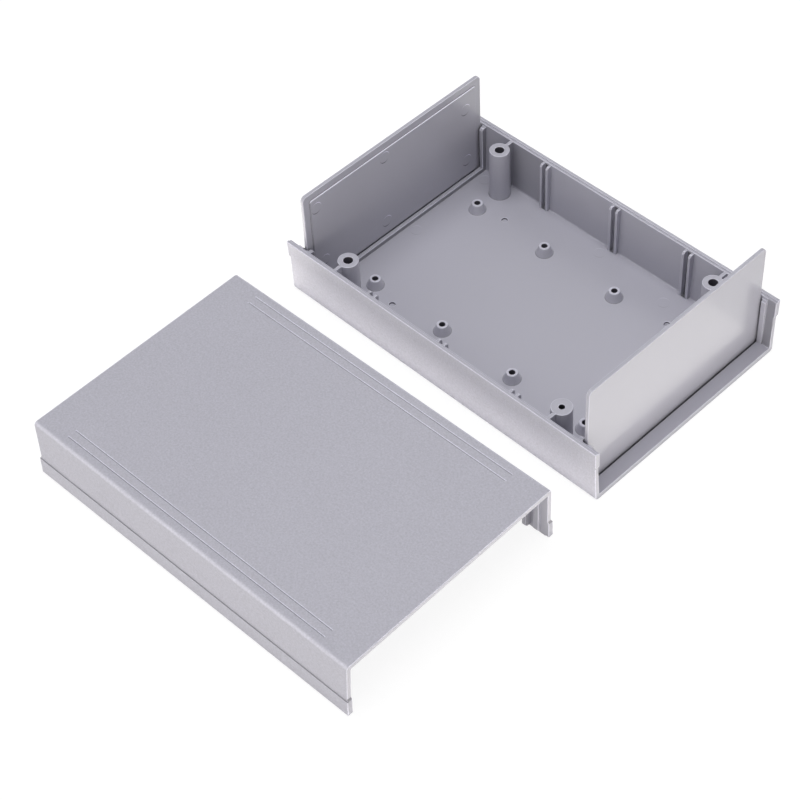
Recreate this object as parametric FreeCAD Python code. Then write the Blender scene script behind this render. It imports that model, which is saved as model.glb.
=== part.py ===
"""Plastic project box, opened: a tray with its two end panels, and its cover lying beside it.

Frame: origin at the middle of the tray's underside, X along the box, Y across it, Z up.
Each shell is drawn as a dish, open side up. The cover is then turned over and laid down.
All sizes are in millimetres and all angles in degrees.
"""
import FreeCAD
import Part
import math
import os

# Shells: overall sizes
box_width = 100.0
box_length = 153.0
shell_height = 25.4
floor_thickness = 2.2
wall_thickness = 1.8
wall_draft = 2.0
end_draft = 1.5
edge_radius = 2.6
inner_radius = 0.6

# Proud band round the open edge of the long walls
band_height = 7.4
band_proud = 0.4
band_end_slope = 0.9

# Lap joint between the shells: the tray's raised lip and ledge, the cover's tongue
lip_width = 1.3
ledge_drop = 0.5
lap_clearance = 0.15
tongue_end_inset = 1.5

# End panels
panel_inset = 6.4
panel_border_thickness = 1.5
panel_pad_raise = 0.5
panel_border_width = 3.0
panel_corner_radius = 2.0
panel_side_clearance = 0.15
panel_end_clearance = 0.1

# Slots that hold the end panels
slot_clearance = 0.3
slot_seat_height = 1.2
slot_rib_thickness = 2.0
slot_overlap = 1.6
slot_sill_height = 1.8
slot_top_gap = 1.2
slot_block_length = 2.4
slot_block_overlap = 0.5
rib_lead_in = 0.8

# Guide ribs for upright cards on the long walls
guide_gap = 1.9
guide_rib_thickness = 1.1
guide_rib_depth = 1.5
guide_rib_top_gap = 0.9
guide_offset = 1.0

# Screw pillars near the corners
pillar_from_end = 23.55
pillar_from_wall = 6.9
pillar_foot_radius = 4.3
pillar_top_radius = 4.0
pillar_top_gap = 0.5
screw_hole_radius = 1.85
screw_head_radius = 3.4
screw_head_depth = 2.6
pillar_meeting_gap = 0.2
pilot_hole_radius = 1.45
pilot_hole_depth = 16.0
web_thickness = 1.4
skin_thickness = 0.4
skin_hole_radius = 1.15

# Stand-offs for the circuit board
standoff_rows = 4
standoff_from_pillar = 12.8
standoff_height = 3.7
standoff_foot_radius = 3.4
standoff_top_radius = 2.1
standoff_hole_radius = 1.2
standoff_hole_depth = 5.0

# Shallow dimples in the tray's floor
dimple_radius = 1.25
dimple_depth = 0.8
dimple_from_pillar_x = 11.8
dimple_from_pillar_y = 9.9

# Two pairs of engraved lines along the cover's top
line_width = 0.7
line_depth = 0.35
line_end_inset = 13.85
line_edge_inset = 5.75
line_pitch = 3.5

# Where the cover lies beside the tray
cover_gap = 21.25
cover_turn = 1.05

# Sizes that follow from those above
half_length = box_length / 2
half_width = box_width / 2
band_foot = shell_height - band_height
wall_inset = band_proud + wall_thickness
tongue_height = ledge_drop - lap_clearance / 2
slot_outer_face = half_length - panel_inset + slot_clearance
slot_inner_face = slot_outer_face - panel_border_thickness - 2 * slot_clearance
closed_height = 2 * shell_height
pillar_x = half_length - pillar_from_end
pillar_height = shell_height - pillar_top_gap
boss_height = closed_height - pillar_height - pillar_meeting_gap
standoff_pitch = 2 * pillar_x / (standoff_rows - 1)
standoff_top = floor_thickness + standoff_height


def wall_half_width(height, inset):
    """Distance from the middle plane of a drafted wall face, measured in from the band."""
    return half_width - inset - (shell_height - height) * math.tan(math.radians(wall_draft))


def end_half_length(height):
    """Distance from the middle plane of the shell's end face, which leans in from the plate."""
    return half_length - height * math.tan(math.radians(end_draft))


pillar_y = wall_half_width(shell_height, wall_inset) - pillar_from_wall
standoff_y = pillar_y - standoff_from_pillar
panel_half_width = wall_half_width(floor_thickness, wall_inset) - panel_side_clearance
slot_half_width = panel_half_width + panel_side_clearance / 2
slot_opening = panel_half_width - slot_overlap
block_opening = panel_half_width - slot_block_overlap
panel_height = closed_height - 2 * slot_seat_height - 2 * panel_end_clearance
guide_opening = wall_half_width(floor_thickness, wall_inset) - guide_rib_depth
hidden_sill = 0.75 * floor_thickness


def both_sides(points):
    """Close a right-hand outline with its mirror image across the middle plane."""
    return points + [(-across, up) for across, up in reversed(points)]


def extrude_along_x(outline, start, end):
    """Solid with a (y, z) outline between two places on X."""
    corners = [FreeCAD.Vector(start, across, up) for across, up in outline]
    face = Part.Face(Part.makePolygon(corners + corners[:1]))
    return face.extrude(FreeCAD.Vector(end - start, 0, 0))


def extrude_along_y(outline, start, end):
    """Solid with an (x, z) outline between two places on Y."""
    corners = [FreeCAD.Vector(along, start, up) for along, up in outline]
    face = Part.Face(Part.makePolygon(corners + corners[:1]))
    return face.extrude(FreeCAD.Vector(0, end - start, 0))


def turned(profile, x, y):
    """Solid of revolution from an (r, z) profile, standing at (x, y)."""
    corners = [FreeCAD.Vector(radius, 0, up) for radius, up in profile]
    face = Part.Face(Part.makePolygon(corners + corners[:1]))
    solid = face.revolve(FreeCAD.Vector(0, 0, 0), FreeCAD.Vector(0, 0, 1), 360)
    solid.translate(FreeCAD.Vector(x, y, 0))
    return solid


def rod(radius, bottom, top, x, y):
    """Upright cylinder from one height to another."""
    base = FreeCAD.Vector(x, y, bottom)
    return Part.makeCylinder(radius, top - bottom, base)


def corners_of(x, y):
    """The four places at plus and minus x and y."""
    return [(x, y), (-x, y), (-x, -y), (x, -y)]


def edges_along_x(shape, height):
    """Straight edges of a shape that run along X at one height."""
    found = []
    for edge in shape.Edges:
        box = edge.BoundBox
        level = abs(box.ZMin - height) < 0.01 and abs(box.ZMax - height) < 0.01
        if level and box.XLength > half_length and box.YLength < 0.01:
            found.append(edge)
    return found


def cavity():
    """The hollow between the long walls, with its sides following their draft."""
    above = shell_height + band_height
    outline = both_sides([
        (wall_half_width(floor_thickness, wall_inset), floor_thickness),
        (wall_half_width(above, wall_inset), above),
    ])
    return extrude_along_x(outline, -half_length, half_length)


def at_both_ends(make, start, end):
    """The same solid at the +X end and, turned about, at the -X end."""
    return [make(start, end), make(-end, -start)]


def shell_blank():
    """Outer form of a shell with its band, hollowed out, open at both ends."""
    section = both_sides([
        (wall_half_width(0, band_proud), 0),
        (wall_half_width(band_foot, band_proud), band_foot),
        (wall_half_width(band_foot, 0), band_foot),
        (half_width, shell_height),
    ])
    side = both_sides([
        (end_half_length(0), 0),
        (end_half_length(band_foot - band_end_slope), band_foot - band_end_slope),
        (half_length, band_foot),
        (half_length, shell_height),
    ])
    solid = extrude_along_x(section, -half_length, half_length)
    solid = solid.common(extrude_along_y(side, -half_width, half_width))
    solid = solid.makeFillet(edge_radius, edges_along_x(solid, 0))
    hollow = cavity()
    hollow = hollow.makeFillet(inner_radius, edges_along_x(hollow, floor_thickness))
    return solid.cut(hollow)


def rib_frame(start, end, opening, sill, top):
    """U-shaped rib across the floor and up both walls, with slanted lead-ins at its tops.

    A sill below the floor's surface leaves two upright ribs, one on each wall.
    """
    root = floor_thickness / 2
    root_inset = wall_inset - wall_thickness / 2
    outline = both_sides([
        (opening, sill),
        (opening, top - rib_lead_in),
        (opening + rib_lead_in, top),
        (wall_half_width(top, root_inset), top),
        (wall_half_width(root, root_inset), root),
    ])
    return extrude_along_x(outline, start, end)


def slot_ribs():
    """Inner rib and outer blocks of the panel slots at both ends."""
    rib_sill = floor_thickness + slot_sill_height
    top = shell_height - slot_top_gap

    def inner_rib(start, end):
        return rib_frame(start, end, slot_opening, rib_sill, top)

    def outer_block(start, end):
        return rib_frame(start, end, block_opening, hidden_sill, top)

    ribs = at_both_ends(inner_rib, slot_inner_face - slot_rib_thickness, slot_inner_face)
    ribs += at_both_ends(outer_block, slot_outer_face, slot_outer_face + slot_block_length)
    return ribs


def guide_ribs():
    """Pairs of upright ribs on both long walls, a card's thickness apart."""
    top = shell_height - guide_rib_top_gap
    ribs = []
    for bay in (-1, 0, 1):
        middle = bay * standoff_pitch + guide_offset
        for side in (-1, 1):
            near = middle + side * guide_gap / 2
            far = near + side * guide_rib_thickness
            ribs.append(rib_frame(min(near, far), max(near, far), guide_opening, hidden_sill, top))
    return ribs


def column(height, x, y):
    """Solid tapered column standing in the floor, tied to its long wall by a thin web.

    The web's top lies level with the ledge inside the shell's edge.
    """
    root = floor_thickness / 2
    post = turned([
        (0, root),
        (pillar_foot_radius, root),
        (pillar_foot_radius, floor_thickness),
        (pillar_top_radius, height),
        (0, height),
    ], x, y)
    side = math.copysign(1, y)
    top = min(height, shell_height - ledge_drop)
    root_inset = wall_inset - wall_thickness / 2
    outline = [
        (y, root),
        (side * wall_half_width(root, root_inset), root),
        (side * wall_half_width(top, root_inset), top),
        (y, top),
    ]
    return post.fuse(extrude_along_x(outline, x - web_thickness / 2, x + web_thickness / 2))


def slot_grooves():
    """What is taken away at both ends for the end panels: a groove across the floor and up both walls."""
    outline = both_sides([
        (slot_half_width, slot_seat_height),
        (slot_half_width, shell_height + band_height),
    ])

    def groove(start, end):
        return extrude_along_x(outline, start, end)

    return at_both_ends(groove, slot_inner_face, slot_outer_face)


def ribbed_shell(column_height):
    """A shell with its slots, guides and four corner columns, before any hole is made."""
    solid = shell_blank()
    solid = solid.fuse(slot_ribs() + guide_ribs())
    solid = solid.fuse([column(column_height, x, y) for x, y in corners_of(pillar_x, pillar_y)])
    return solid.cut(slot_grooves())


def standoff(x, y):
    """Short tapered stand-off rooted in the floor."""
    return turned([
        (0, floor_thickness / 2),
        (standoff_foot_radius, floor_thickness / 2),
        (standoff_foot_radius, floor_thickness),
        (standoff_top_radius, standoff_top),
        (0, standoff_top),
    ], x, y)


def standoff_places():
    """Two straight rows of stand-offs, the outer ones in line with the pillars."""
    places = []
    for row in range(standoff_rows):
        x = -pillar_x + row * standoff_pitch
        places += [(x, standoff_y), (x, -standoff_y)]
    return places


def screw_passage(x, y):
    """Through hole of a pillar, with its sunk seat for the screw's head underneath."""
    return turned([
        (0, -floor_thickness),
        (screw_head_radius, -floor_thickness),
        (screw_head_radius, screw_head_depth),
        (screw_hole_radius, screw_head_depth),
        (screw_hole_radius, pillar_height + floor_thickness),
        (0, pillar_height + floor_thickness),
    ], x, y)


def moulding_skin(x, y):
    """Thin skin left by the mould across a pillar's mouth, with a smaller hole in it."""
    bottom = pillar_height - skin_thickness
    skin = rod(screw_hole_radius + skin_thickness, bottom, pillar_height, x, y)
    return skin.cut(rod(skin_hole_radius, bottom, pillar_height, x, y))


def ledge_cut():
    """What is taken off the inside of the tray's top edge to leave its raised lip."""
    inner = half_width - lip_width
    bottom = shell_height - ledge_drop
    outline = both_sides([(inner, bottom), (inner, shell_height + band_height)])
    return extrude_along_x(outline, -half_length, half_length)


def make_tray():
    """Lower shell: floor, long walls, pillars, stand-offs, slots and card guides."""
    solid = ribbed_shell(pillar_height)
    solid = solid.fuse([standoff(x, y) for x, y in standoff_places()])
    solid = solid.cut(ledge_cut())
    for x, y in corners_of(pillar_x, pillar_y):
        solid = solid.cut(screw_passage(x, y))
    for x, y in standoff_places():
        bottom = standoff_top - standoff_hole_depth
        solid = solid.cut(rod(standoff_hole_radius, bottom, standoff_top + 1, x, y))
    dimple_x = pillar_x - dimple_from_pillar_x
    dimple_y = pillar_y - dimple_from_pillar_y
    for x, y in corners_of(dimple_x, dimple_y):
        bottom = floor_thickness - dimple_depth
        solid = solid.cut(rod(dimple_radius, bottom, floor_thickness + dimple_depth, x, y))
    solid = solid.fuse(moulding_skin(pillar_x, -pillar_y))
    return solid.removeSplitter()


def tongue(side):
    """Tongue on one long edge of the cover, which drops inside the tray's lip."""
    outer = half_width - lip_width - lap_clearance
    inner = wall_half_width(shell_height, wall_inset)
    root = shell_height - ledge_drop
    top = shell_height + tongue_height
    outline = [(side * outer, root), (side * outer, top), (side * inner, top), (side * inner, root)]
    reach = half_length - tongue_end_inset
    return extrude_along_x(outline, -reach, reach)


def engraved_line(y):
    """Shallow groove along the cover's outer face."""
    reach = half_length - line_end_inset
    outline = [(y - line_width / 2, 0), (y + line_width / 2, 0), (y, line_depth)]
    return extrude_along_x(outline, -reach, reach)


def make_cover():
    """Upper shell as a dish: top plate, skirts, screw bosses, slots, guides and tongue."""
    solid = ribbed_shell(boss_height)
    solid = solid.fuse([tongue(-1), tongue(1)])
    for x, y in corners_of(pillar_x, pillar_y):
        bottom = boss_height - pilot_hole_depth
        solid = solid.cut(rod(pilot_hole_radius, bottom, boss_height + 1, x, y))
    outer_line = wall_half_width(0, band_proud) - line_edge_inset + line_pitch / 2
    for y in (outer_line, outer_line - line_pitch):
        solid = solid.cut(engraved_line(y))
        solid = solid.cut(engraved_line(-y))
    return solid.removeSplitter()


def lay_cover_down(solid):
    """Turn the cover over and set it beside the tray, standing on its tongues."""
    solid.rotate(FreeCAD.Vector(0, 0, 0), FreeCAD.Vector(1, 0, 0), 180)
    solid.rotate(FreeCAD.Vector(0, 0, 0), FreeCAD.Vector(0, 0, 1), cover_turn)
    solid.translate(FreeCAD.Vector(0, -box_width - cover_gap, shell_height + tongue_height))
    return solid


def rounded_plate(half_across, bottom, top, radius, start, end):
    """Upright plate along Y with four rounded corners, between two places on X."""
    plate = Part.makeBox(end - start, 2 * half_across, top - bottom)
    plate.translate(FreeCAD.Vector(start, -half_across, bottom))
    corners = []
    for edge in plate.Edges:
        if edge.BoundBox.YLength < 0.01 and edge.BoundBox.ZLength < 0.01:
            corners.append(edge)
    return plate.makeFillet(radius, corners)


def make_panel(side):
    """End panel: a flat plate with a slightly raised pad on its inner face."""
    outer = half_length - panel_inset
    middle = outer - panel_border_thickness
    inner = middle - panel_pad_raise
    bottom = slot_seat_height + panel_end_clearance
    top = bottom + panel_height
    plate = rounded_plate(panel_half_width, bottom, top, panel_corner_radius, middle, outer)
    pad = rounded_plate(
        panel_half_width - panel_border_width,
        bottom + panel_border_width,
        top - panel_border_width,
        panel_corner_radius / 2,
        inner,
        middle,
    )
    solid = plate.fuse(pad).removeSplitter()
    if side < 0:
        solid.rotate(FreeCAD.Vector(0, 0, 0), FreeCAD.Vector(0, 0, 1), 180)
    return solid


parts = {
    "base_tray": make_tray(),
    "cover": lay_cover_down(make_cover()),
    "front_panel": make_panel(1),
    "rear_panel": make_panel(-1),
}

os.makedirs("parts", exist_ok=True)
for name, solid in parts.items():
    solid.exportStep(os.path.join("parts", name + ".step"))
    print(name, "solids", len(solid.Solids), "volume", round(solid.Volume), "valid", solid.isValid())
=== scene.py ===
"""Finish of the opened plastic project box: softened mouldings, tool marks, plastics and studio.

Frame: metres, origin at the middle of the tray's underside, X along the box, Y across it, Z up.
"""
import logging
import math
from dataclasses import dataclass
from enum import Enum

import bmesh
import bpy
from mathutils import Matrix, Vector


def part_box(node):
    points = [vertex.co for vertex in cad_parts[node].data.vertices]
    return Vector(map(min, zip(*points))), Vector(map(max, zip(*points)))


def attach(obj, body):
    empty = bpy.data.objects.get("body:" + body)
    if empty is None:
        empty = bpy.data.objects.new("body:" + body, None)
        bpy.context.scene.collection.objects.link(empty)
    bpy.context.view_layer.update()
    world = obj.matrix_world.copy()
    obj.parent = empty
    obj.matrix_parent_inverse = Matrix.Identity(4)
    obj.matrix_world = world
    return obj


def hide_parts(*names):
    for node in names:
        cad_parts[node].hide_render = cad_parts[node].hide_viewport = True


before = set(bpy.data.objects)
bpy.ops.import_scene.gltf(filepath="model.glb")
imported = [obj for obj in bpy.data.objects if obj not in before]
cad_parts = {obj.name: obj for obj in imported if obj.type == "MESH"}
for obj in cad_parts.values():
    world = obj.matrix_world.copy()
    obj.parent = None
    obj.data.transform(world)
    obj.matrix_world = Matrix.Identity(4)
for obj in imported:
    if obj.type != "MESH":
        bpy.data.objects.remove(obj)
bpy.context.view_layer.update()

log = logging.getLogger("project_box")
MM = 0.001
# Face attribute that carries painted light: above zero a painted highlight, below zero painted
# shade.
PAINTED_LIGHT_ATTRIBUTE = "painted_light_tone"
GUIDE_GAP_SIZES = ("Middle", "Half Pitch", "Half Gap", "Reach", "Wall", "Top", "Shade")
NOISE_MIDDLE = 0.5
PANEL_SLOT = (68.2, 70.5)


class Skin(Enum):
    """Which part of a moulding a face belongs to; the value is its material's place on the mesh."""

    INNER = 0
    OUTER = 1
    # Faces in a well wear a darker copy of the plastic: painted shade.
    WELL = 2


class Socket(Enum):
    """What passes into and out of the shader groups; the value is Blender's name for it."""

    COLOUR = "NodeSocketColor"
    NUMBER = "NodeSocketFloat"
    PLACE = "NodeSocketVector"


def linear(red: float, green: float, blue: float) -> tuple[float, float, float, float]:
    """Turn an 8-bit sRGB colour into the scene's linear colour.

    Args:
        red: Red, 0 to 255.
        green: Green, 0 to 255.
        blue: Blue, 0 to 255.

    Returns:
        The linear colour with full alpha.
    """
    shares = [value / 255 for value in (red, green, blue)]
    bent = [s / 12.92 if s <= 0.04045 else ((s + 0.055) / 1.055) ** 2.4 for s in shares]
    return (*bent, 1.0)


def grey(tone: float) -> tuple[float, float, float, float]:
    """A linear grey with full alpha."""
    return (tone, tone, tone, 1.0)


class NodeSheet:
    """Shorthand for laying shader nodes on a tree and wiring them."""

    def __init__(self, tree: bpy.types.NodeTree) -> None:
        """Keep the tree that the nodes are laid on."""
        self.tree = tree

    def put(
        self, kind: str, sockets: dict[str, object] | None = None, **settings: object
    ) -> bpy.types.Node:
        """Lay one node.

        Args:
            kind: The node's type name.
            sockets: A value for each input that isn't left as it is, by name.
            settings: Properties of the node.

        Returns:
            The new node.
        """
        node = self.tree.nodes.new(kind)
        for name, value in settings.items():
            setattr(node, name, value)
        for socket, value in (sockets or {}).items():
            node.inputs[socket].default_value = value
        return node

    def wire(self, start: bpy.types.NodeSocket, end: bpy.types.NodeSocket) -> None:
        """Join two sockets."""
        self.tree.links.new(start, end)

    def combine(self, operation: str, first: object, second: object) -> bpy.types.NodeSocket:
        """Combine two values with a Math node.

        Args:
            operation: The Math node's operation.
            first: A socket or a number.
            second: A socket or a number.

        Returns:
            The result's socket.
        """
        node = self.put("ShaderNodeMath", operation=operation)
        for place, value in enumerate((first, second)):
            if isinstance(value, bpy.types.NodeSocket):
                self.wire(value, node.inputs[place])
            else:
                node.inputs[place].default_value = value
        return node.outputs[0]

    def own_place(self) -> bpy.types.NodeSocket:
        """Give the place of a point in the piece's own coordinates."""
        return self.put("ShaderNodeTexCoord").outputs["Object"]

    def is_ray(self, *kinds: str) -> bpy.types.NodeSocket:
        """Tell rays of the named kinds from all others.

        Args:
            kinds: The kinds of ray, as Light Path names them.

        Returns:
            A value of 1 for such a ray, else 0.
        """
        path = self.put("ShaderNodeLightPath")
        found, *others = (path.outputs[f"Is {kind} Ray"] for kind in kinds)
        for other in others:
            found = self.combine("MAXIMUM", found, other)
        return found


class GroupSheet(NodeSheet):
    """The nodes of one shader group, laid between its inputs and its outputs."""

    def __init__(self, name: str, inputs: dict[str, Socket], outputs: dict[str, Socket]) -> None:
        """Start an empty group.

        Args:
            name: The group's name.
            inputs: What each input takes, by name.
            outputs: What each output gives, by name.
        """
        super().__init__(bpy.data.node_groups.new(name, "ShaderNodeTree"))
        for way, sockets in (("INPUT", inputs), ("OUTPUT", outputs)):
            for label, kind in sockets.items():
                self.tree.interface.new_socket(label, in_out=way, socket_type=kind.value)
        self.given = self.put("NodeGroupInput").outputs
        self.result = self.put("NodeGroupOutput").inputs

    def scale_colour(self, factor: bpy.types.NodeSocket) -> None:
        """Put out the group's colour times a factor.

        Args:
            factor: The factor.
        """
        scaled = self.put("ShaderNodeVectorMath", operation="SCALE")
        self.wire(self.given["Color"], scaled.inputs[0])
        self.wire(factor, scaled.inputs["Scale"])
        self.wire(scaled.outputs[0], self.result["Color"])

    def shade_colour(self, mask: bpy.types.NodeSocket) -> None:
        """Put out the group's colour, darkened by the group's shade where a mask is 1."""
        shade = self.combine("MULTIPLY", mask, self.given["Shade"])
        self.scale_colour(self.combine("SUBTRACT", 1.0, shade))


@dataclass(frozen=True)
class Noise:
    """A noise on a piece's own coordinates, with cells counted to the metre."""

    cells: float
    octaves: float
    finer_share: float = 0.5

    def lay(self, sheet: NodeSheet) -> bpy.types.NodeSocket:
        """Lay the noise.

        Args:
            sheet: Where the nodes go.

        Returns:
            The noise's value, which swings about zero.
        """
        sockets = {"Scale": self.cells, "Detail": self.octaves, "Roughness": self.finer_share}
        noise = sheet.put("ShaderNodeTexNoise", sockets)
        sheet.wire(sheet.own_place(), noise.inputs["Vector"])
        return sheet.combine("SUBTRACT", noise.outputs[0], NOISE_MIDDLE)


@dataclass
class EffectGroups:
    """The shader effects that the plastics share, each one node group with named sockets."""

    resin_drift: Noise = Noise(cells=18.0, octaves=3.0)
    resin_speckle: Noise = Noise(cells=1400.0, octaves=2.0, finer_share=0.7)
    gloss_patches: Noise = Noise(cells=45.0, octaves=4.0, finer_share=0.6)
    cell_smoothness: float = 0.6
    cell_height: float = 0.7
    pebble_octaves: float = 3.0
    pebble_finer_share: float = 0.6

    def __post_init__(self) -> None:
        """Build every group once."""
        self.tone = self._moulded_tone()
        self.edges = self._painted_light_tone()
        self.grain = self._tool_grain()
        self.gloss = self._gloss_drift()
        self.gaps = self._guide_gap_shade()
        self.zone = self._zone_shade()

    @staticmethod
    def _tint_sheet(name: str, **inputs: Socket) -> GroupSheet:
        """Start a group that takes a colour and more, and gives a colour."""
        return GroupSheet(name, {"Color": Socket.COLOUR, **inputs}, {"Color": Socket.COLOUR})

    def _moulded_tone(self) -> bpy.types.NodeTree:
        """Slow drift of the resin's tone with a fine speckle over it.

        Returns:
            The group.
        """
        sheet = self._tint_sheet("moulded_tone", Drift=Socket.NUMBER, Speckle=Socket.NUMBER)
        drift = sheet.combine("MULTIPLY", self.resin_drift.lay(sheet), sheet.given["Drift"])
        speckle = sheet.combine("MULTIPLY", self.resin_speckle.lay(sheet), sheet.given["Speckle"])
        sheet.scale_colour(sheet.combine("ADD", sheet.combine("ADD", drift, speckle), 1.0))
        return sheet.tree

    def _painted_light_tone(self) -> bpy.types.NodeTree:
        """Painted highlight on proud edges and painted shade in creases, by the mesh's own
        attribute.

        Returns:
            The group.
        """
        sheet = self._tint_sheet("painted_light_tone", Lift=Socket.NUMBER, Crease=Socket.NUMBER)
        tone = sheet.put("ShaderNodeAttribute", attribute_name=PAINTED_LIGHT_ATTRIBUTE).outputs["Fac"]
        proud = sheet.combine("MAXIMUM", tone, 0.0)
        sunk = sheet.combine("MAXIMUM", sheet.combine("MULTIPLY", tone, -1.0), 0.0)
        lift = sheet.combine("MULTIPLY", proud, sheet.given["Lift"])
        crease = sheet.combine("MULTIPLY", sunk, sheet.given["Crease"])
        sheet.scale_colour(sheet.combine("ADD", sheet.combine("SUBTRACT", lift, crease), 1.0))
        return sheet.tree

    def _tool_grain(self) -> bpy.types.NodeTree:
        """Pebbled grain that an eroded tool leaves: rounded pits between small raised cells.

        Returns:
            The group.
        """
        inputs = {"Size": Socket.NUMBER, "Pits": Socket.NUMBER}
        sheet = GroupSheet("tool_grain", inputs, {"Height": Socket.NUMBER})
        place = sheet.own_place()
        scale = sheet.combine("DIVIDE", 1.0, sheet.given["Size"])
        smoothness = {"Smoothness": self.cell_smoothness}
        cells = sheet.put("ShaderNodeTexVoronoi", smoothness, feature="SMOOTH_F1")
        octaves = {"Detail": self.pebble_octaves, "Roughness": self.pebble_finer_share}
        pebbles = sheet.put("ShaderNodeTexNoise", octaves)
        for node in (cells, pebbles):
            sheet.wire(place, node.inputs["Vector"])
            sheet.wire(scale, node.inputs["Scale"])
        raised = sheet.combine("SUBTRACT", self.cell_height, cells.outputs["Distance"])
        mixed = sheet.combine("MULTIPLY", raised, sheet.given["Pits"])
        sheet.wire(sheet.combine("ADD", mixed, pebbles.outputs[0]), sheet.result["Height"])
        return sheet.tree

    def _gloss_drift(self) -> bpy.types.NodeTree:
        """Handling leaves some patches a little shinier than others.

        Returns:
            The group.
        """
        inputs = {"Roughness": Socket.NUMBER, "Spread": Socket.NUMBER}
        sheet = GroupSheet("gloss_drift", inputs, {"Roughness": Socket.NUMBER})
        drift = sheet.combine("MULTIPLY", self.gloss_patches.lay(sheet), sheet.given["Spread"])
        sheet.wire(sheet.combine("ADD", sheet.given["Roughness"], drift), sheet.result["Roughness"])
        return sheet.tree

    def _guide_gap_shade(self) -> bpy.types.NodeTree:
        """Deep shade in the narrow gap of each pair of card guides, which repeat along the wall.

        Returns:
            The group.
        """
        sheet = self._tint_sheet("guide_gap_shade", **dict.fromkeys(GUIDE_GAP_SIZES, Socket.NUMBER))
        split = sheet.put("ShaderNodeSeparateXYZ")
        sheet.wire(sheet.own_place(), split.inputs[0])
        along, across, height = (split.outputs[axis] for axis in "XYZ")
        offset = sheet.combine("SUBTRACT", along, sheet.given["Middle"])
        from_pair = sheet.combine("PINGPONG", offset, sheet.given["Half Pitch"])
        mask = sheet.combine("LESS_THAN", from_pair, sheet.given["Half Gap"])
        for test, value, limit in (
            ("LESS_THAN", sheet.combine("ABSOLUTE", along, 0.0), "Reach"),
            ("GREATER_THAN", sheet.combine("ABSOLUTE", across, 0.0), "Wall"),
            ("LESS_THAN", height, "Top"),
        ):
            mask = sheet.combine("MULTIPLY", mask, sheet.combine(test, value, sheet.given[limit]))
        sheet.shade_colour(mask)
        return sheet.tree

    def _zone_shade(self) -> bpy.types.NodeTree:
        """Shade over everything inside an upright block.

        Returns:
            The group.
        """
        inputs = {"Centre": Socket.PLACE, "Half": Socket.PLACE, "Shade": Socket.NUMBER}
        sheet = self._tint_sheet("zone_shade", **inputs)
        offset = sheet.put("ShaderNodeVectorMath", operation="SUBTRACT")
        distance = sheet.put("ShaderNodeVectorMath", operation="ABSOLUTE")
        beyond = sheet.put("ShaderNodeVectorMath", operation="SUBTRACT")
        split = sheet.put("ShaderNodeSeparateXYZ")
        sheet.wire(sheet.own_place(), offset.inputs[0])
        sheet.wire(sheet.given["Centre"], offset.inputs[1])
        sheet.wire(offset.outputs[0], distance.inputs[0])
        sheet.wire(distance.outputs[0], beyond.inputs[0])
        sheet.wire(sheet.given["Half"], beyond.inputs[1])
        sheet.wire(beyond.outputs[0], split.inputs[0])
        furthest = sheet.combine("MAXIMUM", split.outputs["X"], split.outputs["Y"])
        furthest = sheet.combine("MAXIMUM", furthest, split.outputs["Z"])
        sheet.shade_colour(sheet.combine("LESS_THAN", furthest, 0.0))
        return sheet.tree


@dataclass(frozen=True)
class ShadeZone:
    """An upright block of the tray that little light reaches, in millimetres."""

    low: tuple[float, float, float]
    high: tuple[float, float, float]
    shade: float

    @classmethod
    def around(
        cls,
        middle: tuple[float, float],
        half: tuple[float, float],
        levels: tuple[float, float],
        shade: float,
    ) -> "ShadeZone":
        """Make a block from the middle of its plan.

        Args:
            middle: The middle, along and across the box.
            half: Half of its length and half of its width.
            levels: Where it starts and ends in height.
            shade: How much of the light it takes, 0 to 1.

        Returns:
            The block.
        """
        low = (middle[0] - half[0], middle[1] - half[1], levels[0])
        high = (middle[0] + half[0], middle[1] + half[1], levels[1])
        return cls(low, high, shade)

    def sockets(self) -> dict[str, object]:
        """Give the value of each input of the shade's group."""
        low, high = Vector(self.low) * MM, Vector(self.high) * MM
        return {"Centre": (low + high) / 2, "Half": (high - low) / 2, "Shade": self.shade}


@dataclass(frozen=True)
class GuideGaps:
    """Where the gaps of the card guides lie on the tray."""

    middle: float = 1.0 * MM
    half_pitch: float = 17.65 * MM
    half_gap: float = 0.8 * MM
    reach: float = 60.0 * MM
    wall: float = 45.6 * MM
    top: float = 24.0 * MM
    shade: float = 0.7

    def sockets(self) -> dict[str, object]:
        """Give the value of each input of the shade's group."""
        sizes = (self.middle, self.half_pitch, self.half_gap, self.reach, self.wall, self.top)
        return dict(zip(GUIDE_GAP_SIZES, (*sizes, self.shade)))


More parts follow.
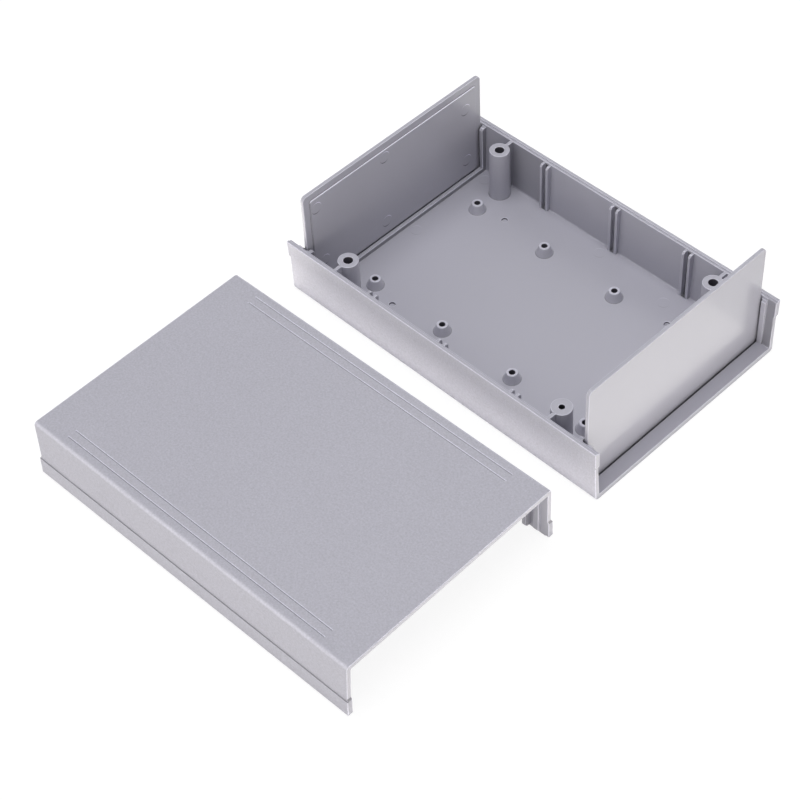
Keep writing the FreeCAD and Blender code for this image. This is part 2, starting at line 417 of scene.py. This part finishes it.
@dataclass(frozen=True)
class PlasticFinish:
    """One finish of the moulded plastic."""

    name: str
    roughness: float
    colour: tuple[float, float, float] = (180, 179, 190)
    gloss_spread: float = 0.10
    drift: float = 0.05
    speckle: float = 0.03
    # Painted highlight on proud edges and painted shade in creases.
    painted_edge_highlight: float = 0.55
    crease: float = 0.45
    grain_size: float = 0.5 * MM
    pits: float = 0.5
    grain_depth: float = 0.015 * MM
    guide_gaps: GuideGaps | None = None
    zones: tuple[ShadeZone, ...] = ()

    def build(self, effects: EffectGroups) -> bpy.types.Material:
        """Make the material.

        Args:
            effects: The shared shader groups.

        Returns:
            The material, ready to be placed on a mesh.
        """
        material = bpy.data.materials.new(self.name)
        material.use_nodes = True
        material.diffuse_color = linear(*self.colour)
        sheet = NodeSheet(material.node_tree)
        shader = material.node_tree.nodes["Principled BSDF"]
        resin = {"Color": linear(*self.colour), "Drift": self.drift, "Speckle": self.speckle}
        colour = self._place(sheet, effects.tone, resin).outputs["Color"]
        sheen = {"Roughness": self.roughness, "Spread": self.gloss_spread}
        gloss = self._place(sheet, effects.gloss, sheen)
        grain = self._place(sheet, effects.grain, {"Size": self.grain_size, "Pits": self.pits})
        bump = sheet.put("ShaderNodeBump", {"Strength": 1.0, "Distance": self.grain_depth})
        # Painted light and shade over the resin colour: edge highlights, crease shade, guide gap
        # shade and zone shade.
        tints = [(effects.edges, {"Lift": self.painted_edge_highlight, "Crease": self.crease})]
        if self.guide_gaps:
            tints.append((effects.gaps, self.guide_gaps.sockets()))
        tints += [(effects.zone, zone.sockets()) for zone in self.zones]
        for group, values in tints:
            tint = self._place(sheet, group, values)
            sheet.wire(colour, tint.inputs["Color"])
            colour = tint.outputs["Color"]
        sheet.wire(colour, shader.inputs["Base Color"])
        sheet.wire(gloss.outputs["Roughness"], shader.inputs["Roughness"])
        sheet.wire(grain.outputs["Height"], bump.inputs["Height"])
        sheet.wire(bump.outputs["Normal"], shader.inputs["Normal"])
        return material

    @staticmethod
    def _place(
        sheet: NodeSheet, group: bpy.types.NodeTree, values: dict[str, object]
    ) -> bpy.types.Node:
        """Place a shared group with this finish's own values.

        Args:
            sheet: The material's nodes.
            group: The group.
            values: A value for each named input.

        Returns:
            The placed group node.
        """
        node = sheet.put("ShaderNodeGroup", node_tree=group)
        for name, value in values.items():
            node.inputs[name].default_value = value
        return node


@dataclass(frozen=True)
class PinMark:
    """A shallow round mark with a sloping rim that an ejector pin left in a flat face."""

    place: tuple[float, float, float]
    facing: tuple[float, float, float]
    radius: float = 2.6 * MM
    depth: float = 0.12 * MM
    rim: float = 0.32 * MM
    # How strong the painted light and shade on the rim are, and the way that painted light comes
    # from.
    rim_painted_light: float = 1.3
    falloff: int = 3
    painted_light_from: tuple[float, float, float] = (0.0, 0.3, 0.95)
    sides: int = 48

    def add_pin(self, form: bmesh.types.BMesh, tone: bmesh.types.BMLayerItem) -> None:
        """Add the pin's end, standing as deep in the face as its mark, and paint light and shade on
        its rim by which way each part faces.

        Args:
            form: Where the pin's closed form is added.
            tone: Where each face's painted light or shade is kept.
        """
        middle = Vector(self.place)
        turn = Vector(self.facing).to_track_quat("Z", "Y").to_matrix().to_4x4()
        made = bmesh.ops.create_cone(
            form,
            cap_ends=True,
            cap_tris=False,
            segments=self.sides,
            radius1=self.radius - self.rim,
            radius2=self.radius + self.rim,
            depth=2 * self.depth,
            matrix=Matrix.Translation(middle) @ turn,
        )
        for face in {face for vert in made["verts"] for face in vert.link_faces}:
            outward = face.calc_center_median() - middle
            is_rim = len(face.verts) < self.sides
            if is_rim:
                light = outward.normalized().dot(Vector(self.painted_light_from))
                face[tone] = self.rim_painted_light * light ** self.falloff


@dataclass(frozen=True)
class Well:
    """A narrow hollow in a moulding whose inside little light reaches."""

    low: tuple[float, float, float]
    high: tuple[float, float, float]
    is_round: bool = False

    def holds(self, place: Vector) -> bool:
        """Tell whether a place lies inside the hollow.

        Args:
            place: The place.

        Returns:
            True inside it or on its sides.
        """
        if not all(low <= value <= high for low, value, high in zip(self.low, place, self.high)):
            return False
        middle = (Vector(self.low) + Vector(self.high)) / 2
        reach = (self.high[0] - self.low[0]) / 2
        return not self.is_round or (place - middle).xy.length <= reach


@dataclass
class Moulding:
    """A moulded piece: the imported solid's own form, softened and with its tool marks added."""

    node: str
    body: str
    slot: str
    inner: PlasticFinish
    outer: PlasticFinish | None = None
    # The darker copy of the plastic for faces inside wells: painted shade.
    deep: PlasticFinish | None = None
    pin_marks: tuple[PinMark, ...] = ()
    wells: tuple[Well, ...] = ()
    edge_softness: float = 0.24 * MM
    crease_softness: float = 0.14 * MM
    edge_steps: int = 2
    sharpest_kept: float = math.radians(25)
    smooth_under: float = math.radians(40)
    flat_under: float = math.radians(0.5)
    merge_distance: float = 0.002 * MM
    least_edge: float = 0.001 * MM

    def build(self, effects: EffectGroups) -> bpy.types.Object:
        """Make the piece, dress it and put it on its body.

        Args:
            effects: The shared shader groups.

        Returns:
            The finished piece.
        """
        form = self.merged_copy()
        self.soften(form)
        mesh = bpy.data.meshes.new(self.node + "_moulding")
        form.to_mesh(mesh)
        form.free()
        if self.pin_marks:
            mesh = self.press_marks(mesh)
        for finish in filter(None, (self.inner, self.outer, self.deep)):
            mesh.materials.append(finish.build(effects))
        for face in mesh.polygons:
            corners = [mesh.vertices[place].co for place in face.vertices]
            face.material_index = self.skin_of(face.center, face.normal, corners).value
        mesh.shade_smooth()
        mesh.set_sharp_from_angle(angle=self.smooth_under)
        piece = bpy.data.objects.new(self.node + "_moulding", mesh)
        bpy.context.scene.collection.objects.link(piece)
        weighted = piece.modifiers.new("even_flats", "WEIGHTED_NORMAL")
        weighted.keep_sharp = True
        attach(piece, self.body)
        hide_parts(self.node)
        log.info("%s: %d faces on body %s", piece.name, len(mesh.polygons), self.body)
        return piece

    def merged_copy(self) -> bmesh.types.BMesh:
        """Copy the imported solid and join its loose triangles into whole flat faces.

        Returns:
            The solid as one closed mesh.
        """
        form = bmesh.new()
        form.from_mesh(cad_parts[self.node].data)
        bmesh.ops.remove_doubles(form, verts=form.verts, dist=self.merge_distance)
        bmesh.ops.dissolve_limit(
            form,
            angle_limit=self.flat_under,
            verts=form.verts,
            edges=form.edges,
            use_dissolve_boundaries=False,
        )
        return form

    def press_marks(self, mesh: bpy.types.Mesh) -> bpy.types.Mesh:
        """Sink the ejector pins' flat ends a hair into the piece.

        Args:
            mesh: The softened piece.

        Returns:
            The piece with its shallow round marks.
        """
        form = bmesh.new()
        tone = form.faces.layers.float.new(PAINTED_LIGHT_ATTRIBUTE)
        for mark in self.pin_marks:
            mark.add_pin(form, tone)
        pins = bpy.data.meshes.new(self.node + "_pins")
        form.to_mesh(pins)
        form.free()
        collection = bpy.context.scene.collection
        block = bpy.data.objects.new(self.node + "_block", mesh)
        cutter = bpy.data.objects.new(self.node + "_pins", pins)
        for part in (block, cutter):
            collection.objects.link(part)
        cut = block.modifiers.new("pins", "BOOLEAN")
        cut.operation = "DIFFERENCE"
        cut.solver = "EXACT"
        cut.object = cutter
        ready = block.evaluated_get(bpy.context.evaluated_depsgraph_get())
        marked = bpy.data.meshes.new_from_object(ready)
        for part in (block, cutter):
            bpy.data.objects.remove(part)
        marked.name = self.node + "_moulding"
        return marked

    def soften(self, form: bmesh.types.BMesh) -> None:
        """Round every real edge a little and mark rounded faces on proud edges for a painted
        highlight and those in creases for painted shade.

        Args:
            form: The closed mesh, changed in place.
        """
        tone = form.faces.layers.float.new(PAINTED_LIGHT_ATTRIBUTE)
        sharp = [
            edge
            for edge in form.edges
            if edge.is_manifold and abs(edge.calc_face_angle_signed(0.0)) > self.sharpest_kept
        ]
        for sign, softness in ((1.0, self.edge_softness), (-1.0, self.crease_softness)):
            edges = [e for e in sharp if e.is_valid and e.calc_face_angle_signed(0.0) * sign > 0]
            made = bmesh.ops.bevel(
                form,
                geom=edges,
                offset=softness,
                offset_type="OFFSET",
                affect="EDGES",
                segments=self.edge_steps,
                profile=0.5,
                material=-1,
                clamp_overlap=False,
                loop_slide=False,
            )
            for face in made["faces"]:
                face[tone] = sign
        bmesh.ops.dissolve_degenerate(form, dist=self.least_edge, edges=form.edges)
        self.paint_light_and_shade(form, tone)

    def paint_light_and_shade(self, form: bmesh.types.BMesh, tone: bmesh.types.BMLayerItem) -> None:
        """Paint light and shade on the moulding's own details; a plain piece has none.

        Args:
            form: The softened mesh.
            tone: Where each face's painted light or shade is kept.
        """

    def skin_of(self, centre: Vector, normal: Vector, corners: list[Vector]) -> Skin:
        """Tell which part of the moulding a face belongs to.

        Args:
            centre: The face's middle.
            normal: The way it faces.
            corners: Its corners.

        Returns:
            The part.
        """
        # Faces inside a well get the darker finish, painted shade where little light reaches.
        in_well = any(all(well.holds(corner) for corner in corners) for well in self.wells)
        return Skin.WELL if in_well else Skin.INNER


@dataclass
class ShellMoulding(Moulding):
    """One of the two dished shells; its outer skin has the tool's grain."""

    middle: tuple[float, float] = (0.0, 0.0)
    turn: float = 0.0
    core_half_width: float = 46.8 * MM
    plate_level: float = 1.3 * MM
    plate_side: float = -1.0
    corner_half_width: float = 48.713 * MM
    rounding_radius: float = 2.6 * MM
    rounding_centre: float = 46.202 * MM
    rounding_share: float = 0.58
    # Painted highlight on the rounding from plate to skirt.
    rounding_painted_highlight: float = 0.6
    on_arc_within: float = 0.02 * MM
    plate_slack: float = 0.01 * MM
    skirt_slack: float = 0.1 * MM
    band_slack: float = 0.6 * MM
    least_slope: float = 0.1

    def own_frame(self) -> Matrix:
        """Give the transform from the scene to the shell's own, unturned frame."""
        to_middle = Matrix.Translation((-self.middle[0], -self.middle[1], 0.0))
        return Matrix.Rotation(-self.turn, 4, "Z") @ to_middle

    def merged_copy(self) -> bmesh.types.BMesh:
        """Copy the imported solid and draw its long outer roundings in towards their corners.

        Returns:
            The solid as one closed mesh.
        """
        form = super().merged_copy()
        inward = self.own_frame()
        outward = inward.inverted()
        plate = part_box(self.node)[0 if self.plate_side < 0 else 1][2]
        centre = Vector((self.rounding_centre, plate - self.plate_side * self.rounding_radius))
        corner = Vector((self.corner_half_width, plate))
        for vert in form.verts:
            own = inward @ vert.co
            place = Vector((abs(own.y), own.z))
            arm = place - centre
            is_on_arc = abs(arm.length - self.rounding_radius) < self.on_arc_within
            is_in_corner = arm.x > -self.plate_slack and arm.y * self.plate_side > -self.skirt_slack
            if is_on_arc and is_in_corner:
                tight = corner + (place - corner) * self.rounding_share
                vert.co = outward @ Vector((own.x, math.copysign(tight.x, own.y), tight.y))
        return form

    def paint_light_and_shade(self, form: bmesh.types.BMesh, tone: bmesh.types.BMLayerItem) -> None:
        """Paint a highlight on the rounding from plate to skirt, strongest half way round, and
        paint light and shade on the shell's details.

        Args:
            form: The softened mesh.
            tone: Where each face's painted light or shade is kept.
        """
        inward = self.own_frame()
        for face in form.faces:
            place = inward @ face.calc_center_median()
            facing = inward.to_3x3() @ face.normal
            if self.is_outside(place, facing) and facing.z * self.plate_side > self.least_slope:
                steepness = 2 * abs(facing.y) * abs(facing.z)
                face[tone] = max(face[tone], self.rounding_painted_highlight * steepness ** 2)
            face[tone] = self.painted_detail_light(place, facing, face[tone])

    def is_outside(self, place: Vector, facing: Vector) -> bool:
        """Tell whether a face lies beyond the hollow and faces away from it.

        Args:
            place: The face's middle in the shell's own frame.
            facing: The way it faces there.

        Returns:
            True on the skirts' outer skin.
        """
        return abs(place.y) > self.core_half_width and facing.y * place.y > 0

    def painted_detail_light(self, place: Vector, facing: Vector, tone: float) -> float:
        """Give the painted light or shade of a face that belongs to one of the shell's own details;
        a plain shell keeps the tone noted so far.

        Args:
            place: The face's middle in the shell's own frame.
            facing: The way it faces there.
            tone: The tone noted so far.

        Returns:
            The tone to keep.
        """
        return tone

    def skin_of(self, centre: Vector, normal: Vector, corners: list[Vector]) -> Skin:
        """Tell the outer skin by its place and by facing away from the hollow.

        Args:
            centre: The face's middle.
            normal: The way it faces.
            corners: Its corners.

        Returns:
            The part.
        """
        inward = self.own_frame()
        place = inward @ centre
        facing = inward.to_3x3() @ normal
        is_past_plate = (place.z - self.plate_level) * self.plate_side > 0
        is_plate = is_past_plate and facing.z * self.plate_side > self.least_slope
        if is_plate or self.is_outside(place, facing):
            return Skin.OUTER
        return super().skin_of(place, facing, [inward @ corner for corner in corners])


@dataclass
class TrayMoulding(ShellMoulding):
    """The tray, with ribs that hold the end panels and stand-offs for a circuit board."""

    band_level: float = 18.0 * MM
    slot_wall: float = 68.3 * MM
    slot_mouth: float = 0.3 * MM
    rib_wall: float = 66.3 * MM
    standoff_top: float = 5.9 * MM
    same_plane: float = 0.02 * MM
    square_on: float = 0.9
    level: float = 0.99
    # Painted shade on slot mouths, ribs' inner sides and the band's foot; painted highlight on
    # stand-off tops.
    slot_mouth_painted_shade: float = -1.9
    rib_painted_shade: float = -0.9
    standoff_painted_highlight: float = 1.0
    band_foot_painted_shade: float = -0.4

    def painted_detail_light(self, place: Vector, facing: Vector, tone: float) -> float:
        """Paint shade on the slot mouths, the ribs' inner sides and the band's foot, and a
        highlight on the stand-offs' tops.

        Args:
            place: The face's middle in the shell's own frame.
            facing: The way it faces there.
            tone: The tone noted so far.

        Returns:
            The tone to keep.
        """
        along = abs(place.x)
        outward = math.copysign(facing.x, facing.x * place.x)
        is_within = abs(place.y) < self.core_half_width
        is_band_foot = abs(place.z - self.band_level) < self.band_slack
        if is_band_foot and tone > 0 and not is_within and facing.y * place.y > 0:
            return self.band_foot_painted_shade
        is_mouth = 0 < self.slot_wall - along < self.slot_mouth and outward > self.least_slope
        if is_mouth and tone > 0 and is_within:
            return self.slot_mouth_painted_shade
        if is_within and abs(along - self.rib_wall) < self.same_plane and outward < -self.square_on:
            return self.rib_painted_shade
        if abs(place.z - self.standoff_top) < self.same_plane and facing.z > self.level:
            return self.standoff_painted_highlight
        return tone


@dataclass
class CoverMoulding(ShellMoulding):
    """The cover, with a band along its skirts and engraved lines along its top."""

    band_level: float = 7.83 * MM
    plate_top: float = 25.4 * MM
    line_depth: float = 0.4 * MM
    line_slopes: tuple[float, float] = (0.5, 0.85)
    # Painted shade on the band's ledge; painted highlight and shade on the two slopes of the
    # engraved lines.
    band_ledge_painted_shade: float = -1.0
    near_slope_painted_shade: float = -0.4
    far_slope_painted_highlight: float = 1.0

    def painted_detail_light(self, place: Vector, facing: Vector, tone: float) -> float:
        """Paint shade on the band's ledge, a highlight on the far slope of each engraved line and
        shade on its near slope.

        Args:
            place: The face's middle in the shell's own frame.
            facing: The way it faces there.
            tone: The tone noted so far.

        Returns:
            The tone to keep.
        """
        if self.is_outside(place, facing):
            is_band = abs(place.z - self.band_level) < self.band_slack
            is_ledge = is_band and facing.z > self.least_slope
            return self.band_ledge_painted_shade if is_ledge else tone
        least, most = self.line_slopes
        is_sloped = least < facing.z < most and abs(facing.y) > least
        if is_sloped and place.z > self.plate_top - self.line_depth:
            return self.far_slope_painted_highlight if facing.y < 0 else self.near_slope_painted_shade
        return tone


@dataclass
class PanelMoulding(Moulding):
    """An end panel: a thin plate with a raised pad on its inner face."""

    pad_border: float = 68.5 * MM
    least_slope: float = 0.3
    # Painted highlight on the plate's edge and the pad's top edge, painted shade on the pad's near
    # and lower edges.
    rim_painted_highlight: float = 0.35
    pad_top_painted_highlight: float = 1.25
    pad_near_painted_shade: float = -0.6
    pad_foot_painted_shade: float = -1.9
    pad_other_painted_highlight: float = 0.15

    def paint_light_and_shade(self, form: bmesh.types.BMesh, tone: bmesh.types.BMLayerItem) -> None:
        """Paint light and shade on each side of the pad's edge by the way it faces, and a weaker
        highlight on the plate's own edge.

        Args:
            form: The softened mesh.
            tone: Where each face's painted light or shade is kept.
        """
        for face in form.faces:
            if face[tone] <= 0:
                continue
            if abs(face.calc_center_median().x) > self.pad_border:
                face[tone] = self.rim_painted_highlight
            elif abs(face.normal.z) > self.least_slope:
                face[tone] = self.pad_top_painted_highlight if face.normal.z > 0 else self.pad_foot_painted_shade
            else:
                is_near = face.normal.y < -self.least_slope
                face[tone] = self.pad_near_painted_shade if is_near else self.pad_other_painted_highlight


@dataclass(frozen=True)
class Lamp:
    """One soft rectangular lamp that the camera doesn't see, with its power in watts."""

    name: str
    place: tuple[float, float, float]
    size: tuple[float, float]
    power: float
    aim: tuple[float, float, float]
    tint: tuple[float, float, float] = (1.0, 1.0, 1.0)

    def hang(self) -> None:
        """Hang the lamp in the scene."""
        data = bpy.data.lights.new(self.name, "AREA")
        data.shape = "RECTANGLE"
        data.size, data.size_y = self.size
        data.energy = self.power
        data.color = self.tint
        lamp = bpy.data.objects.new(self.name, data)
        way = Vector(self.aim) - Vector(self.place)
        turn = way.to_track_quat("-Z", "Y").to_matrix().to_4x4()
        lamp.matrix_world = Matrix.Translation(self.place) @ turn
        lamp.visible_camera = False
        bpy.context.scene.collection.objects.link(lamp)


@dataclass
class Studio:
    """Camera, floor, lamps and surroundings."""

    focal_pixels: float = 2174.85
    frame_pixels: float = 800.0
    sensor: float = 36.0
    azimuth: float = math.radians(47.31)
    elevation: float = math.radians(48.45)
    roll: float = math.radians(-3.34)
    target: tuple[float, float, float] = (0.04 * MM, -67.84 * MM, 10.0 * MM)
    distance: float = 776.2 * MM
    floor_size: float = 6.0
    floor_tone: float = 0.9
    seen_floor_tone: float = 0.16
    seen_floor_glow: float = 0.89
    sky: float = 0.23
    softbox_size: tuple[float, float] = (0.8, 0.5)
    softbox_aim: tuple[float, float, float] = (0.0, -0.06, 0.0)
    table_tint: tuple[float, float, float] = (1.0, 0.965, 0.885)
    table_reach: float = 0.5
    table_level: float = 0.3 * MM
    table_aim_height: float = 1.0
    tray_half: tuple[float, float] = (0.0775, 0.0508)
    cover_across: tuple[float, float] = (-0.1732, -0.0695)
    wall_height: float = 0.15
    wall_length: float = 1.3
    wall_distance: float = 0.6
    object_front: float = -0.1
    object_right: float = 0.08
    front_wall_glow: float = 2.8
    right_wall_glow: float = 1.55

    def build(self) -> None:
        """Set up the whole studio."""
        self._camera()
        self._floor()
        self._sky()
        self._softboxes()
        self._table()
        self._low_walls()
        bpy.context.scene.view_settings.view_transform = "Standard"

    def _camera(self) -> None:
        """Stand the camera where the picture was taken from."""
        data = bpy.data.cameras.new("camera")
        data.sensor_width = self.sensor
        data.lens = self.focal_pixels / self.frame_pixels * self.sensor
        back = Vector((
            math.sin(self.azimuth) * math.cos(self.elevation),
            -math.cos(self.azimuth) * math.cos(self.elevation),
            math.sin(self.elevation),
        ))
        across = Vector((0, 0, 1)).cross(back).normalized()
        up = back.cross(across)
        right = across * math.cos(self.roll) + up * math.sin(self.roll)
        above = up * math.cos(self.roll) - across * math.sin(self.roll)
        pose = Matrix((right, above, back)).transposed().to_4x4()
        pose.translation = Vector(self.target) + back * self.distance
        camera = bpy.data.objects.new("camera", data)
        camera.matrix_world = pose
        bpy.context.scene.collection.objects.link(camera)
        bpy.context.scene.camera = camera

    def _floor(self) -> None:
        """Lay a plain white floor that looks white to the camera and keeps a faint shadow."""
        form = bmesh.new()
        bmesh.ops.create_grid(form, x_segments=1, y_segments=1, size=self.floor_size / 2)
        mesh = bpy.data.meshes.new("floor")
        form.to_mesh(mesh)
        form.free()
        material = bpy.data.materials.new("white_floor")
        material.use_nodes = True
        tree = material.node_tree
        sheet = NodeSheet(tree)
        tree.nodes.remove(tree.nodes["Principled BSDF"])
        seen_matt = sheet.put("ShaderNodeBsdfDiffuse", {"Color": grey(self.seen_floor_tone)})
        seen_white = sheet.put("ShaderNodeEmission", {"Strength": self.seen_floor_glow})
        seen = sheet.put("ShaderNodeAddShader")
        sheet.wire(seen_matt.outputs[0], seen.inputs[0])
        sheet.wire(seen_white.outputs[0], seen.inputs[1])
        lit = sheet.put("ShaderNodeBsdfDiffuse", {"Color": grey(self.floor_tone)})
        mixed = sheet.put("ShaderNodeMixShader")
        sheet.wire(sheet.is_ray("Camera", "Glossy", "Transmission"), mixed.inputs[0])
        sheet.wire(lit.outputs[0], mixed.inputs[1])
        sheet.wire(seen.outputs[0], mixed.inputs[2])
        sheet.wire(mixed.outputs[0], tree.nodes["Material Output"].inputs["Surface"])
        mesh.materials.append(material)
        floor = bpy.data.objects.new("floor", mesh)
        bpy.context.scene.collection.objects.link(floor)

    def _sky(self) -> None:
        """Surround the scene with an even pale light that itself looks white."""
        world = bpy.data.worlds.new("studio")
        world.use_nodes = True
        sheet = NodeSheet(world.node_tree)
        background = world.node_tree.nodes["Background"]
        strength = sheet.put("ShaderNodeMapRange", {"To Min": self.sky, "To Max": 1.0})
        sheet.wire(sheet.is_ray("Camera", "Transmission"), strength.inputs["Value"])
        sheet.wire(strength.outputs[0], background.inputs["Strength"])
        background.inputs["Color"].default_value = grey(1.0)
        bpy.context.scene.world = world

    def _softboxes(self) -> None:
        """Hang one large soft lamp overhead and three weak ones round it."""
        softboxes = {
            "overhead": ((0.0, -0.06, 0.95), 4.9),
            "front": ((0.0, -0.75, 0.62), 1.05),
            "left": ((-0.75, -0.07, 0.62), 0.6),
            "back": ((0.0, 0.65, 0.62), 1.25),
        }
        for name, (place, power) in softboxes.items():
            Lamp(name + "_softbox", place, self.softbox_size, power, self.softbox_aim).hang()

    def _table(self) -> None:
        """Let the table round tray and cover glow, so that outer faces are lit from below."""
        reach = self.table_reach
        half_x, half_y = self.tray_half
        near, far = self.cover_across
        strips = {
            "before": (-reach, reach, near - reach, near, 0.19),
            "between": (-half_x, half_x, far, -half_y, 1.35),
            "behind": (-reach, reach, half_y, half_y + reach, 0.25),
            "left": (-reach, -half_x, near, half_y, 2.0),
            "right": (half_x, reach, near, half_y, 0.75),
        }
        for name, (left, right, front, back, glow) in strips.items():
            size = (right - left, back - front)
            place = ((left + right) / 2, (front + back) / 2, self.table_level)
            power = glow * math.pi * size[0] * size[1]
            above = (place[0], place[1], self.table_aim_height)
            Lamp("table_" + name, place, size, power, above, self.table_tint).hang()

    def _low_walls(self) -> None:
        """Stand low bright walls in front and at the right; the rim hides them from the inside."""
        size = (self.wall_length, self.wall_height)
        middle = self.wall_height / 2
        front = self.object_front - self.wall_distance
        right = self.object_right + self.wall_distance
        walls = {
            "front_wall": ((0.0, front, middle), self.front_wall_glow),
            "right_wall": ((right, 0.0, middle), self.right_wall_glow),
        }
        for name, (place, glow) in walls.items():
            power = glow * math.pi * self.wall_height * self.wall_length
            Lamp(name, place, size, power, (0.0, 0.0, middle), self.table_tint).hang()


def panel_marks(side: float) -> tuple[PinMark, ...]:
    """Places of the ejector pins on an end panel's inner face.

    Args:
        side: 1 for the front panel, -1 for the rear one.

    Returns:
        The marks.
    """
    inner_face = 68.1 * MM
    facing = (-side, 0.0, 0.0)
    places = ((-39.0, 13.5), (-41.0, 41.5), (-6.2, 10.5), (-5.6, 42.8), (38.3, 12.0), (38.0, 38.0))
    return tuple(PinMark((side * inner_face, y * MM, z * MM), facing) for y, z in places)


def floor_marks() -> tuple[PinMark, ...]:
    """Places of the ejector pins on the tray's floor, which are shallower and carry fainter painted
    light on their rims.

    Returns:
        The marks.
    """
    floor_face = 2.2 * MM
    upward = (0.0, 0.0, 1.0)
    light = {"depth": 0.08 * MM, "rim_painted_light": 0.5, "painted_light_from": (-0.6, 0.8, 0.0)}
    behind = ((-62.5, 3.8), (-62.5, 42.5), (-2.0, 42.3), (33.0, 38.5))
    before = ((-33.0, -38.5), (2.0, -42.3), (62.5, -3.8))
    return tuple(PinMark((x * MM, y * MM, floor_face), upward, **light) for x, y in behind + before)


def four_ways(x: float, y: float) -> tuple[tuple[float, float], ...]:
    """The four places at plus and minus x and y."""
    return ((x, y), (-x, y), (-x, -y), (x, -y))


def span(side: int, near: float, far: float) -> tuple[float, float]:
    """The stretch between two distances in millimetres on one side, lower end first."""
    return tuple(sorted((side * near * MM, side * far * MM)))


def bore(x: float, y: float, radius: float, bottom: float, top: float) -> Well:
    """The inside of an upright round hole, in millimetres.

    Args:
        x: Its axis along the box.
        y: Its axis across the box.
        radius: Its radius.
        bottom: Where it ends.
        top: Where it opens.

    Returns:
        The hollow.
    """
    wall_slack, rim = 0.04, 0.1
    reach = radius + wall_slack
    low = ((x - reach) * MM, (y - reach) * MM, (bottom - rim) * MM)
    high = ((x + reach) * MM, (y + reach) * MM, (top - rim) * MM)
    return Well(low, high, is_round=True)


def tray_wells() -> tuple[Well, ...]:
    """The tray's bores, floor dimples, panel slots and the ends of its card guides.

    Returns:
        The hollows.
    """
    wells = [bore(x, y, radius=1.85, bottom=2.6, top=24.9) for x, y in four_ways(52.95, 40.9)]
    wells.append(bore(52.95, -40.9, radius=1.15, bottom=24.4, top=25.0))
    standoffs = [(x, y) for x in (-52.95, -17.65, 17.65, 52.95) for y in (-28.1, 28.1)]
    wells += [bore(x, y, radius=1.2, bottom=0.9, top=5.9) for x, y in standoffs]
    wells += [bore(x, y, radius=1.25, bottom=1.5, top=2.2) for x, y in four_ways(41.15, 31.0)]
    half_width, bottom, floor_face, side_top = 47.4 * MM, 1.1 * MM, 2.15 * MM, 24.0 * MM
    for side in (-1, 1):
        near, far = span(side, *PANEL_SLOT)
        wells.append(Well((near, -half_width, bottom), (far, half_width, floor_face)))
        for edge in (-1, 1):
            low, high = span(edge, 45.5, 47.6)
            wells.append(Well((near, low, bottom), (far, high, side_top)))
    return tuple(wells)


def cover_wells() -> tuple[Well, ...]:
    """The panel slots in the cover's skirts.

    Returns:
        The hollows.
    """
    bottom, top = 0.5 * MM, 24.7 * MM
    wells = []
    for side in (-1, 1):
        near, far = span(side, *PANEL_SLOT)
        for edge in (-1, 1):
            low, high = span(edge, 44.5, 48.0)
            wells.append(Well((near, low, bottom), (far, high, top)))
    return tuple(wells)


def tray_zones() -> tuple[ShadeZone, ...]:
    """Where the tray lies in deep shade: beside the panels, in its end recesses, behind a pillar.

    Returns:
        The shaded blocks.
    """
    gaps_beside_panel = [side * gap for side in (-1, 1) for gap in (68.08, 70.62)]
    slits = [ShadeZone.around((x, 0.0), (0.23, 47.0), (1.0, 24.3), 0.9) for x in gaps_beside_panel]
    recesses = [
        ShadeZone.around(place, (1.7, 1.95), (2.3, 24.88), 0.4) for place in four_ways(74.45, 46.0)
    ]
    bay = ShadeZone((-52.9, 45.0, 3.0), (-36.0, 48.0, 24.6), 0.27)
    return (*slits, *recesses, bay)


def main() -> None:
    """Build every piece in order and set up the studio."""
    logging.basicConfig(level=logging.INFO, format="%(message)s")
    effects = EffectGroups()
    satin = PlasticFinish("satin_shell_plastic", roughness=0.3)
    # The tray's inner finish, with painted shade in the guide gaps and in the shaded zones.
    guided = PlasticFinish(
        "guided_shell_plastic",
        roughness=0.3,
        painted_edge_highlight=0.35,
        guide_gaps=GuideGaps(),
        zones=tray_zones(),
    )
    smooth = PlasticFinish("smooth_panel_plastic", roughness=0.2, gloss_spread=0.06, painted_edge_highlight=0.9)
    spark = PlasticFinish(
        "spark_shell_plastic",
        roughness=0.55,
        speckle=0.5,
        grain_size=0.9 * MM,
        grain_depth=0.09 * MM,
    )
    # Painted shade: a darker copy of the plastic on the insides of bores, dimples and panel slots.
    shaded = PlasticFinish("shaded_shell_plastic", colour=(92, 90, 99), roughness=0.5)
    pieces = [
        TrayMoulding(
            "base_tray",
            "tray",
            "shell_plastic",
            guided,
            spark,
            shaded,
            pin_marks=floor_marks(),
            wells=tray_wells(),
        ),
        CoverMoulding(
            "cover",
            "cover",
            "textured_shell_plastic",
            satin,
            spark,
            shaded,
            wells=cover_wells(),
            sharpest_kept=math.radians(50),
            middle=(0.0, -121.25 * MM),
            turn=math.radians(1.05),
            plate_level=24.5 * MM,
            plate_side=1.0,
        ),
    ]
    for node, side in (("front_panel", 1.0), ("rear_panel", -1.0)):
        marks = panel_marks(side)
        pieces.append(PanelMoulding(node, node, "panel_plastic", smooth, pin_marks=marks))
    for piece in pieces:
        piece.build(effects)
    Studio().build()


if __name__ == "__main__":
    main()
